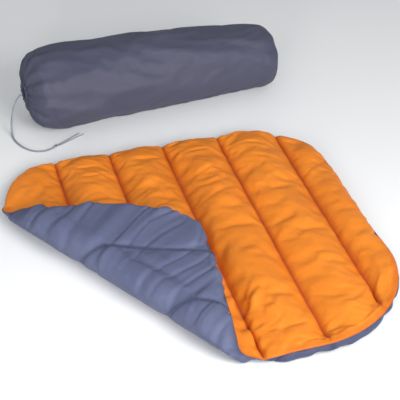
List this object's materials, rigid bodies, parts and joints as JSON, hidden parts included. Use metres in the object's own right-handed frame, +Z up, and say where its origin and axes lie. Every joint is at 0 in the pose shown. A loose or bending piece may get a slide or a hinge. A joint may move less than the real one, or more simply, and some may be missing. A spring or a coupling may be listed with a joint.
{
  "type": "quilted blanket set",
  "caption": "Padded channel-quilted blanket lying open with one corner folded over, and its filled drawcord stuff sack beside it.",
  "frame": {"origin": "on the floor, under the crest of the first channel to the right of the middle quilting seam", "axes": "+Z up, +Y from the front edge to the rear edge along the quilting seams, +X to the right across the channels"},
  "size_m": [0.9004, 1.2984, 0.236],
  "materials": {
    "orange_cover": "satin",
    "underside_cover": "satin",
    "fill": "soft",
    "orange_thread": "matt",
    "grey_thread": "matt",
    "sack_cloth": "satin",
    "packed_quilt": "satin",
    "cord": "matt"
  },
  "bodies": {
    "quilt": {"bend_top_cover": "orange_cover", "bend_under_cover": "underside_cover", "main_fill_1": "fill", "main_fill_2": "fill", "main_fill_3": "fill", "main_fill_4": "fill", "main_stitch_1": "orange_thread", "main_stitch_2": "orange_thread", "main_stitch_3": "orange_thread", "main_stitch_4": "orange_thread", "main_top_cover": "orange_cover", "main_under_cover": "underside_cover"},
    "folded_corner": {"corner_fill_1": "fill", "corner_fill_2": "fill", "corner_stitch_1": "grey_thread", "corner_stitch_2": "grey_thread", "corner_top_cover": "orange_cover", "corner_under_cover": "underside_cover"},
    "inner_wing": {"inner_wing_fill_5": "fill", "inner_wing_stitch_5": "orange_thread", "inner_wing_top_cover": "orange_cover", "inner_wing_under_cover": "underside_cover"},
    "outer_wing": {"outer_wing_fill_6": "fill", "outer_wing_top_cover": "orange_cover", "outer_wing_under_cover": "underside_cover"},
    "stuff_sack": {"drawcord_knot": "cord", "drawcord_strand_1": "cord", "drawcord_strand_2": "cord", "drawcord_tail_1": "cord", "drawcord_tail_2": "cord", "packed_roll": "packed_quilt", "sack_base": "sack_cloth", "sack_hem": "sack_cloth", "sack_tube": "sack_cloth"}
  },
  "joints": [
    {"name": "corner_fold", "type": "hinge", "parent": "quilt", "child": "folded_corner", "pos_m": [-0.52879, 0.2139, 0.046], "axis": [0.524, -0.8517, 0], "range_deg": [0, 176], "deforming": ["bend_under_cover", "bend_top_cover"]},
    {"name": "inner_wing_fold", "type": "hinge", "parent": "quilt", "child": "inner_wing", "pos_m": [0.0785, 0, 0.046], "axis": [0, -1, 0], "range_deg": [0, 95]},
    {"name": "outer_wing_fold", "type": "hinge", "parent": "inner_wing", "child": "outer_wing", "pos_m": [0.2395, 0, 0.046], "axis": [0, -1, 0], "range_deg": [0, 178]},
    {"name": "sack_lift", "type": "slide", "parent": "quilt", "child": "stuff_sack", "axis": [0, 0, 1], "range_m": [0, 0.5]}
  ]
}
